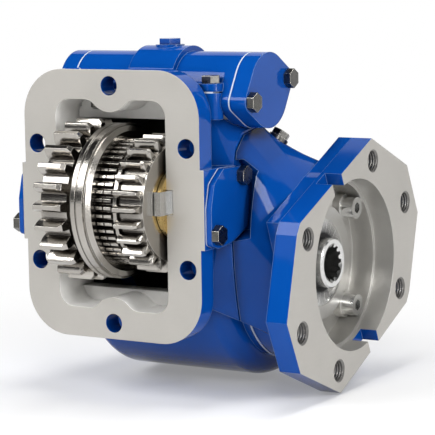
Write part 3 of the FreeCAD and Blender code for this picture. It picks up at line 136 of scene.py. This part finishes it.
class Nodes:
    """The node tree of a material or of the room."""

    def __init__(self, tree):
        self.tree = tree

    def put(self, node, values):
        """Sets sockets, or links them where a value is a Tone. In a name, _ stands for a space."""
        for name, value in values.items():
            socket = node.inputs[name.replace("_", " ") if isinstance(name, str) else name]
            if isinstance(value, Tone):
                self.tree.links.new(value.socket, socket)
            else:
                socket.default_value = value

    def node(self, kind, settings=None, sockets=None, out=0):
        """Adds any node: its settings are set first, then its sockets."""
        node = self.tree.nodes.new(kind)
        for name, value in (settings or {}).items():
            setattr(node, name, value)
        self.put(node, sockets or {})
        return Tone(self.tree, node.outputs[out])

    def mixed(self, factor, first, second):
        """A colour between two others. Each is a Tone, or red, green and blue."""
        ends = [end if isinstance(end, Tone) else (*end, 1.0) for end in (first, second)]
        sockets = {0: factor, 6: ends[0], 7: ends[1]}
        return self.node("ShaderNodeMix", {"data_type": "RGBA"}, sockets, out=2)

    def looked_at(self):
        """1 for what the camera sees, mirrors and glass included, and 0 for what only gets light."""
        rays = [self.node("ShaderNodeLightPath", out=name)
                for name in ("Is Camera Ray", "Is Glossy Ray", "Is Transmission Ray")]
        return (rays[0] + rays[1] + rays[2]).held()


class Finish(Nodes):
    """A material with one Principled shader. Sockets that never vary are given when it is made."""

    def __init__(self, name, **fixed):
        self.material = bpy.data.materials.new(name)
        self.material.use_nodes = True
        super().__init__(self.material.node_tree)
        self.shader = self.tree.nodes["Principled BSDF"]
        self.put(self.shader, fixed)
        self.place = self.node("ShaderNodeTexCoord", out="Object")

    def noise(self, scale, detail=2.0, stretch=(1.0, 1.0, 1.0)):
        place = self.node("ShaderNodeMapping", sockets={"Vector": self.place, "Scale": stretch})
        sockets = {"Vector": place, "Scale": scale, "Detail": detail}
        return self.node("ShaderNodeTexNoise", sockets=sockets)

    def along(self, axis):
        """The place along X, Y or Z, in metres."""
        return self.node("ShaderNodeSeparateXYZ", sockets={"Vector": self.place}, out=axis)

    def rounded(self, radius):
        """The normal that the surface would have if its edges were rounded by this radius."""
        return self.node("ShaderNodeBevel", {"samples": 8}, {"Radius": radius})

    def bump(self, height, distance, strength, soft_edge=0.0):
        """The surface raised by a height. soft_edge is the radius that the edges are seen to have."""
        sockets = {"Strength": strength, "Distance": distance, "Height": height}
        if soft_edge:
            sockets["Normal"] = self.rounded(soft_edge)
        return self.node("ShaderNodeBump", sockets=sockets)

    def edges(self, radius):
        """1 on the edges and 0 on the faces between them."""
        normals = {0: self.rounded(radius), 1: self.node("ShaderNodeNewGeometry", out="Normal")}
        likeness = self.node("ShaderNodeVectorMath", {"operation": "DOT_PRODUCT"}, normals, out="Value")
        return (1.0 - likeness).step(0.02, 0.2)

    def hollows(self, reach):
        """1 deep in corners and recesses and 0 on open faces."""
        openness = self.node("ShaderNodeAmbientOcclusion", {"samples": 6}, {"Distance": reach}, out="AO")
        return 1.0 - openness

    def vary(self, **links):
        """Links what changes over the surface."""
        self.put(self.shader, links)
        return self


WHITE = (1.0, 1.0, 1.0)
world = bpy.data.worlds.new("studio_room")
bpy.context.scene.world = world
world.use_nodes = True
room = Nodes(world.node_tree)
from_middle = room.node("ShaderNodeTexCoord", out="Generated")
up = room.node("ShaderNodeSeparateXYZ", sockets={"Vector": from_middle}, out="Z")
room_light = room.mixed(up.step(-0.4, 0.9), (0.42, 0.42, 0.43), (0.62, 0.62, 0.64))
room_colour = room.mixed(room.looked_at(), room_light, WHITE)
room.put(room.tree.nodes["Background"], {"Color": room_colour})

FLOOR_GAP = 0.001
SHADE_RADIUS = 0.14  # the floor shows its shadows up to here
OPEN_RADIUS = 0.4  # and is as white as the room from here on
LEAST_GLOW = 0.25  # how much of the white it has up to the shade radius
bpy.ops.mesh.primitive_plane_add(size=8.0, location=(0.0, 0.0, cad_box[0][2] - FLOOR_GAP))
floor = bpy.context.object
floor.name = "floor"
floor_finish = Finish("pale_floor", Roughness=0.9, Specular_IOR_Level=0.1)
floor_grain = floor_finish.noise(3.0)
floor_finish.vary(Base_Color=floor_finish.mixed(floor_grain, (0.86, 0.86, 0.86), (0.9, 0.9, 0.9)))
away = floor_finish.node("ShaderNodeVectorMath", {"operation": "LENGTH"},
                         {0: floor_finish.place}, out="Value")
open_floor = away.step(SHADE_RADIUS, OPEN_RADIUS) * (1.0 - LEAST_GLOW) + LEAST_GLOW
floor_look = floor_finish.node("ShaderNodeMixShader", sockets={
    0: floor_finish.looked_at() * open_floor,
    1: Tone(floor_finish.tree, floor_finish.shader.outputs[0]),
    2: floor_finish.node("ShaderNodeEmission", sockets={"Color": (*WHITE, 1.0)}),
})
floor_finish.put(floor_finish.tree.nodes["Material Output"], {"Surface": floor_look})
floor.data.materials.append(floor_finish.material)

card_finish = Finish("dark_card", Roughness=0.9, Specular_IOR_Level=0.1)
card_nap = card_finish.noise(8.0)
card_finish.vary(Base_Color=card_finish.mixed(card_nap, (0.008, 0.008, 0.009), (0.014, 0.014, 0.015)))


def towards(place, target):
    """The rotation that turns a card or a lamp at a place to face a target."""
    return (Vector(target) - Vector(place)).to_track_quat("-Z", "Y").to_euler()


def dark_card(name, place, target, size):
    bpy.ops.mesh.primitive_plane_add(size=1.0, location=place)
    card = bpy.context.object
    card.name = name
    card.scale = (size[0], size[1], 1.0)
    card.rotation_euler = towards(place, target)
    card.data.materials.append(card_finish.material)
    card.visible_camera = False


dark_card("card_behind_camera", (1.0, -1.5, 0.2), (0.0, 0.0, 0.1), (1.6, 1.1))
dark_card("card_overhead", (0.0, 0.0, 1.4), (0.0, 0.0, 0.0), (2.6, 2.2))
dark_card("card_low_front", (-0.8, -1.35, 0.26), (0.0, 0.0, 0.05), (1.3, 0.42))
dark_card("card_left", (-1.45, -0.25, 0.2), (0.0, 0.0, 0.1), (0.9, 1.0))
dark_card("card_right", (1.35, 0.75, 0.2), (0.0, 0.1, 0.05), (1.3, 1.0))
dark_card("card_back", (0.0, 1.7, 0.6), (0.0, 0.1, 0.1), (1.6, 0.7))


def soft_box(name, place, target, size, power):
    lamp = bpy.data.lights.new(name, "AREA")
    lamp.shape = "RECTANGLE"
    lamp.size, lamp.size_y = size
    lamp.energy = power
    holder = bpy.data.objects.new(name, lamp)
    bpy.context.collection.objects.link(holder)
    holder.location = place
    holder.rotation_euler = towards(place, target)


soft_box("front_box", (-0.75, -1.2, 1.05), (0.0, 0.0, 0.0), (0.9, 0.8), 17.5)
soft_box("near_box", (0.95, -1.3, 0.8), (0.0, 0.0, 0.0), (0.5, 0.4), 9.0)
soft_box("right_box", (1.4, -0.15, 0.35), (0.05, 0.08, 0.0), (0.3, 0.8), 7.5)
soft_box("top_box", (0.15, 0.05, 1.2), (0.0, 0.06, 0.0), (0.9, 0.28), 9.0)


# The case and the pump flange are iron castings under a thick deep blue enamel, which softens their
# edges. The faces that mate are milled bare after painting, the hollow of the case is left as cast,
# and the pocket for the pump is turned on a lathe.
def dress(name, *finishes, choose=None):
    """Gives a CAD piece its finishes. choose picks one for each face from its middle and its normal."""
    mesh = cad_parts[name].data
    mesh.materials.clear()
    for finish in finishes:
        mesh.materials.append(finish.material)
    if choose:
        for face in mesh.polygons:
            face.material_index = choose(face.center, face.normal)


DEEP_BLUE = (0.001, 0.053, 0.28)
FULL_BLUE = (0.002, 0.07, 0.35)
SHADED_BLUE = (0.002, 0.012, 0.075)
# a pale blue painted onto the edges as a highlight
PAINTED_HIGHLIGHT_BLUE = (0.3, 0.46, 0.75)
CASTING_EDGE = 0.0025
NECK_EDGE = 0.011


def enamel_coat(name, edge_radius):
    """Enamel over a casting with edges of this radius, with a painted highlight on its edges and painted
    shade in its hollows.
    """
    coat = Finish(name, Coat_Roughness=0.04, Coat_IOR=1.3, Specular_IOR_Level=0.0)
    cast = coat.noise(420.0, 3.0)
    flow = coat.noise(28.0, 2.0)
    # painted shade: the enamel turns dark navy deep in corners and recesses
    painted_shade_in_hollows = coat.hollows(0.03).step(0.3, 0.9) * 0.75
    blue = coat.mixed(painted_shade_in_hollows, coat.mixed(flow, DEEP_BLUE, FULL_BLUE), SHADED_BLUE)
    return coat.vary(
        # painted highlight: the edges are mixed towards a pale blue
        Base_Color=coat.mixed(coat.edges(0.0006) * 0.6, blue, PAINTED_HIGHLIGHT_BLUE),
        Roughness=0.3 + flow * 0.12,
        Coat_Weight=0.85 + flow * 0.15,
        Normal=coat.bump(cast * 0.12 + flow, 0.0009, 0.5, soft_edge=edge_radius),
    )


enamel = enamel_coat("blue_enamel", CASTING_EDGE)
neck_enamel = enamel_coat("neck_enamel", NECK_EDGE)

machined = Finish("machined_iron", Specular_IOR_Level=0.5)
milled = machined.noise(60.0, 3.0, (1.0, 1.0, 14.0))
stain = machined.noise(22.0, 4.0)
machined.vary(
    Base_Color=machined.mixed(stain, (0.40, 0.385, 0.355), (0.52, 0.50, 0.465)),
    Metallic=0.35 + stain * 0.2,
    Roughness=0.4 + milled * 0.12,
    Normal=machined.bump(milled, 0.0001, 0.25, soft_edge=0.0005),
)

as_cast = Finish("bare_casting", Specular_IOR_Level=0.5)
lump = as_cast.noise(260.0, 4.0)
pale_iron = as_cast.mixed(lump, (0.82, 0.81, 0.78), (0.93, 0.92, 0.89))
# painted shade: the pale casting goes almost black further into the case
painted_shade_deep_inside = as_cast.along("Y").step(0.02, 0.04)
as_cast.vary(
    Base_Color=as_cast.mixed(painted_shade_deep_inside, pale_iron, (0.03, 0.029, 0.027)),
    Metallic=lump * 0.1,
    Roughness=0.36 + lump * 0.2,
    Normal=as_cast.bump(lump, 0.0003, 0.5, soft_edge=0.001),
)

shaft_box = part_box("output_shaft")
AXIS_Y = (shaft_box[0].y + shaft_box[1].y) / 2
AXIS_Z = (shaft_box[0].z + shaft_box[1].z) / 2
GEAR_ROOM_RADIUS = 0.066  # the gear room is round, about the output shaft
GEAR_ROOM_LEFT = -0.0425
GEAR_ROOM_RIGHT = 0.0527
WINDOW_LEFT = -0.038
WINDOW_RIGHT = 0.0425
WINDOW_HALF_TALL = 0.0606
WINDOW_DEEP = 0.0725
NECK_LEFT = 0.044
NECK_FRONT = 0.03
PAINT_EDGE = 0.0003  # the paint ends this far behind a milled face
SQUARE_ON = 0.9  # a face looks along an axis when its normal has more than this of it


def from_shaft(middle):
    """How far a place lies from the axis of the output shaft."""
    return math.hypot(middle.y - AXIS_Y, middle.z - AXIS_Z)


def case_side(middle, normal):
    """0 is painted, 1 milled, 2 left as cast and 3 painted like the neck."""
    if middle.y < PAINT_EDGE and normal.y < -SQUARE_ON:
        return 1
    out = Vector((0.0, middle.y - AXIS_Y, middle.z - AXIS_Z))
    inside_room = out.length < GEAR_ROOM_RADIUS and GEAR_ROOM_LEFT < middle.x < GEAR_ROOM_RIGHT
    if inside_room and (out.dot(normal) < 0.0 or abs(normal.x) > SQUARE_ON):
        return 2
    inside_window = WINDOW_LEFT < middle.x < WINDOW_RIGHT and abs(middle.z) < WINDOW_HALF_TALL
    faces_in = Vector((middle.x, 0.0, middle.z)).dot(normal) < 0.0 or normal.y < -SQUARE_ON
    if inside_window and PAINT_EDGE < middle.y < WINDOW_DEEP and faces_in:
        return 2
    return 3 if middle.x > NECK_LEFT and middle.y > NECK_FRONT else 0


dress("case", enamel, machined, as_cast, neck_enamel, choose=case_side)

turned_iron = Finish("turned_iron", Specular_IOR_Level=0.5)
off_centre = [turned_iron.along("Y") - AXIS_Y, turned_iron.along("Z") - AXIS_Z]
from_axis = (off_centre[0] * off_centre[0] + off_centre[1] * off_centre[1]) ** 0.5
on_lathe = turned_iron.node("ShaderNodeCombineXYZ",
                            sockets={"X": from_axis, "Y": turned_iron.along("X")})
rings = turned_iron.node("ShaderNodeTexNoise", {"noise_dimensions": "2D"},
                         {"Vector": on_lathe, "Scale": 1500.0, "Detail": 2.0})
blot = turned_iron.noise(45.0, 3.0)
turned_iron.vary(
    Base_Color=turned_iron.mixed(blot, (0.42, 0.41, 0.39), (0.62, 0.61, 0.58)),
    Metallic=0.7 + blot * 0.2,
    Roughness=0.3 + rings * 0.12,
    Normal=turned_iron.bump(rings, 0.00006, 0.4, soft_edge=0.0005),
)

THREAD_PITCH = 0.00175
tapped = Finish("tapped_hole", Metallic=0.8)
thread = (tapped.along("X") * (2.0 * math.pi / THREAD_PITCH)).math("SINE")
dirt = tapped.noise(500.0, 2.0)
tapped.vary(
    Base_Color=tapped.mixed(dirt, (0.13, 0.125, 0.12), (0.3, 0.29, 0.275)),
    Roughness=0.3 + dirt * 0.2,
    Normal=tapped.bump(thread, 0.0004, 0.8),
)

PUMP_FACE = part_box("pump_flange")[1].x
PUMP_LEAN = 24.0  # degrees that the pattern of the pump's bolts is turned
FOUR_BOLT_RADIUS = 0.0635
TWO_BOLT_RADIUS = 0.073025
HOLE_REACH = 0.0072  # the wall of a hole lies closer than this to its middle
POCKET_RADIUS = 0.0512
POCKET_FLOOR = 0.0785
PLATE_BACK = 0.0925
NECK_END = PLATE_BACK - 0.002
hole_places = []
for circle, turns in ((FOUR_BOLT_RADIUS, (45, 135, 225, 315)), (TWO_BOLT_RADIUS, (0, 180))):
    for hole_turn in turns:
        angle = math.radians(hole_turn + PUMP_LEAN)
        hole_places.append((AXIS_Y + circle * math.cos(angle), AXIS_Z + circle * math.sin(angle)))


def pump_side(middle, normal):
    """0 is painted, 1 milled, 2 turned, 3 tapped and 4 painted like the neck."""
    if middle.x > PUMP_FACE - PAINT_EDGE and normal.x > SQUARE_ON:
        return 1
    if from_shaft(middle) < POCKET_RADIUS and middle.x > POCKET_FLOOR:
        return 2
    near = min(math.hypot(middle.y - y, middle.z - z) for y, z in hole_places)
    if near < HOLE_REACH and middle.x > PLATE_BACK and abs(normal.x) < SQUARE_ON:
        return 3
    return 4 if middle.x < NECK_END else 0


dress("pump_flange", enamel, machined, turned_iron, tapped, neck_enamel, choose=pump_side)


# The shift housing, its end caps, the rear cover and the side plates are cast iron. They are bolted
# to the case before it is painted, so the enamel covers them too, and the steel top plug with them.
for name in ("end_cap_right", "end_cap_left", "rear_cover", "side_plate_right", "side_plate_left",
             "top_plug"):
    dress(name, enamel)
FOOT_BORDER = 0.004
OPENING_LEFT = -0.0425
OPENING_RIGHT = 0.0475
LOOKS_UP = 0.2  # a face looks up when its normal rises more than this
foot_low, foot_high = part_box("shift_gasket")


def housing_side(middle, normal):
    """0 is painted. 1, the underside that looks down into the case, is left as cast."""
    between_feet = foot_low.y + FOOT_BORDER < middle.y < foot_high.y - FOOT_BORDER
    over_case = between_feet and OPENING_LEFT < middle.x < OPENING_RIGHT
    return 1 if over_case and middle.z < foot_low.z and normal.z < LOOKS_UP else 0


dress("shift_housing", enamel, as_cast, choose=housing_side)


# The gaskets are thin sheets of pale fibre, cut to the outline of what they seal. They are pressed
# between the castings and show there as light lines.
fibre = Finish("gasket_fibre", Roughness=0.75)
threads = fibre.noise(900.0, 2.0)
fibre.vary(Base_Color=fibre.mixed(threads, (0.42, 0.46, 0.55), (0.62, 0.66, 0.74)))
for name in ("flange_gasket", "side_gasket_right", "side_gasket_left", "shift_gasket",
             "cap_gasket_right", "cap_gasket_left", "rear_gasket"):
    dress(name, fibre)


# The hexagon screws are steel with a dark zinc plating, with a painted highlight on their edges. They
# hold the side plates, the shift housing, the end caps and the rear cover.
zinc = Finish("zinc_plate", Metallic=1.0)
tarnish = zinc.noise(260.0, 3.0)
plated = zinc.mixed(tarnish, (0.06, 0.06, 0.06), (0.19, 0.185, 0.17))
zinc.vary(
    # painted highlight: the edges are mixed to a pale bright colour
    Base_Color=zinc.mixed(zinc.edges(0.0005), plated, (0.78, 0.75, 0.68)),
    Roughness=0.2 + tarnish * 0.16,
    Normal=zinc.bump(tarnish, 0.0001, 0.2, soft_edge=0.0005),
)
for name in ("side_plate_screws", "shift_bolts", "end_cap_bolts", "rear_cover_screws"):
    dress(name, zinc)


# A plated hexagon plug closes the oil hole in the roof of the neck. Its round skirt is sunk a little
# into the paint, and it stands square to the sloping roof there.
PLUG_SEAT = (0.064, 0.081, 0.0333)
ROOF_NORMAL = Vector((0.36, 0.43, 0.83))
SKIRT_RADIUS = 0.0062
SKIRT_HIGH = 0.0032
HEAD_RADIUS = 0.0056
HEAD_HIGH = 0.0038
EDGE_BREAK = 0.0003
bpy.ops.mesh.primitive_cylinder_add(vertices=48, radius=SKIRT_RADIUS, depth=SKIRT_HIGH)
plug = bpy.context.object
plug.name = "neck_plug"
bpy.ops.object.mode_set(mode="EDIT")
bpy.ops.mesh.primitive_cylinder_add(vertices=6, radius=HEAD_RADIUS, depth=HEAD_HIGH,
                                    location=(0.0, 0.0, (SKIRT_HIGH + HEAD_HIGH) / 2))
bpy.ops.mesh.select_all(action="SELECT")
bpy.ops.mesh.bevel(offset=EDGE_BREAK, segments=2)
bpy.ops.object.mode_set(mode="OBJECT")
square_to_roof = ROOF_NORMAL.to_track_quat("Z", "Y").to_matrix().to_4x4()
plug.matrix_world = Matrix.Translation(PLUG_SEAT) @ square_to_roof
bpy.ops.object.transform_apply(location=True, rotation=True, scale=True)
plug.data.materials.append(zinc.material)
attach(plug, "housing")


# The gears and the fork are hardened steel. The teeth are cut and ground, with painted shade in the
# roots between them. The cluster turns on the idler shaft, and the fork moves the sliding gear.
steel = Finish("gear_steel", Metallic=1.0)
grain = steel.noise(300.0, 3.0, (1.0, 6.0, 6.0))
patch = steel.noise(40.0, 2.0)
unshaded_steel = steel.mixed(patch, (0.34, 0.32, 0.29), (0.58, 0.555, 0.515))
steel.vary(
    # painted shade: the steel turns almost black deep in roots, corners and recesses
    Base_Color=steel.mixed(steel.hollows(0.006).step(0.15, 0.75), unshaded_steel, (0.035, 0.03, 0.025)),
    Roughness=0.12 + grain * 0.12,
    Normal=steel.bump(grain, 0.00008, 0.4, soft_edge=0.0004),
)
for name in ("cluster_hub", "input_gear", "collar_ring", "dog_sleeve", "drive_gear", "sliding_gear",
             "shift_fork"):
    dress(name, steel)


# The shafts, the rod, the rollers and the races are hardened steel, ground bright. The screws that
# hold the pump flange to the case, and the clip bent over the right thrust washer, are bright too.
bright = Finish("bright_steel", Metallic=1.0)
rubbed = bright.noise(500.0, 2.0, (0.2, 1.0, 1.0))
bright.vary(
    Base_Color=bright.mixed(rubbed, (0.62, 0.62, 0.61), (0.78, 0.78, 0.77)),
    Roughness=0.14 + rubbed * 0.1,
)
for name in ("output_shaft", "idler_shaft", "shift_rod", "flange_screws", "washer_lock",
             "needle_rollers", "front_bearing_outer", "front_bearing_inner", "front_bearing_rollers",
             "rear_bearing_outer", "rear_bearing_inner", "rear_bearing_rollers"):
    dress(name, bright)


# The thrust washers are turned from brass. One lies at each end of the gear cluster, between it and
# the wall of the window.
brass = Finish("turned_brass", Metallic=1.0)
turning = brass.noise(700.0, 2.0)
brass.vary(
    Base_Color=brass.mixed(turning, (0.62, 0.42, 0.14), (0.82, 0.62, 0.28)),
    Roughness=0.22 + turning * 0.15,
)
for name in ("thrust_washer_right", "thrust_washer_left"):
    dress(name, brass)


# The piston ring and the lip of the shaft seal are black moulded rubber. The seal's case is pressed
# from bright steel and sits in the pump flange, round the output shaft.
LIP_RADIUS = 0.0205
rubber = Finish("seal_rubber", Specular_IOR_Level=0.4)
bloom = rubber.noise(350.0, 3.0)
rubber.vary(
    Base_Color=rubber.mixed(bloom, (0.012, 0.012, 0.013), (0.035, 0.035, 0.037)),
    Roughness=0.45 + bloom * 0.2,
)
dress("piston_ring", rubber)


def seal_side(middle, normal):
    """0 is the rubber lip and 1 the steel case."""
    return 0 if from_shaft(middle) < LIP_RADIUS else 1


dress("output_seal", rubber, bright, choose=seal_side)


# The piston is turned from aluminium. It slides in the bore of the shift housing and carries the
# rubber ring in a groove round its rim.
aluminium = Finish("turned_aluminium", Metallic=1.0)
lathe = aluminium.noise(600.0, 2.0, (8.0, 1.0, 1.0))
aluminium.vary(
    Base_Color=aluminium.mixed(lathe, (0.66, 0.67, 0.69), (0.80, 0.81, 0.83)),
    Roughness=0.28 + lathe * 0.15,
)
dress("piston", aluminium)


# The return spring is wound from oiled wire. One end stays on the housing while the piston presses
# the other, and a copy of the coil, fixed to the housing, stands for it.
wire = Finish("spring_wire", Metallic=1.0)
oil = wire.noise(300.0, 2.0)
wire.vary(
    Base_Color=wire.mixed(oil, (0.09, 0.09, 0.1), (0.2, 0.2, 0.21)),
    Roughness=0.3 + oil * 0.2,
)
coil = bpy.data.objects.new("return_coil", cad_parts["return_spring"].data.copy())
bpy.context.collection.objects.link(coil)
coil.data.materials.clear()
coil.data.materials.append(wire.material)
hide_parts("return_spring")
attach(coil, "housing")
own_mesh(coil)


# The picture keeps the colours as they are rendered.
bpy.context.scene.view_settings.view_transform = "Standard"
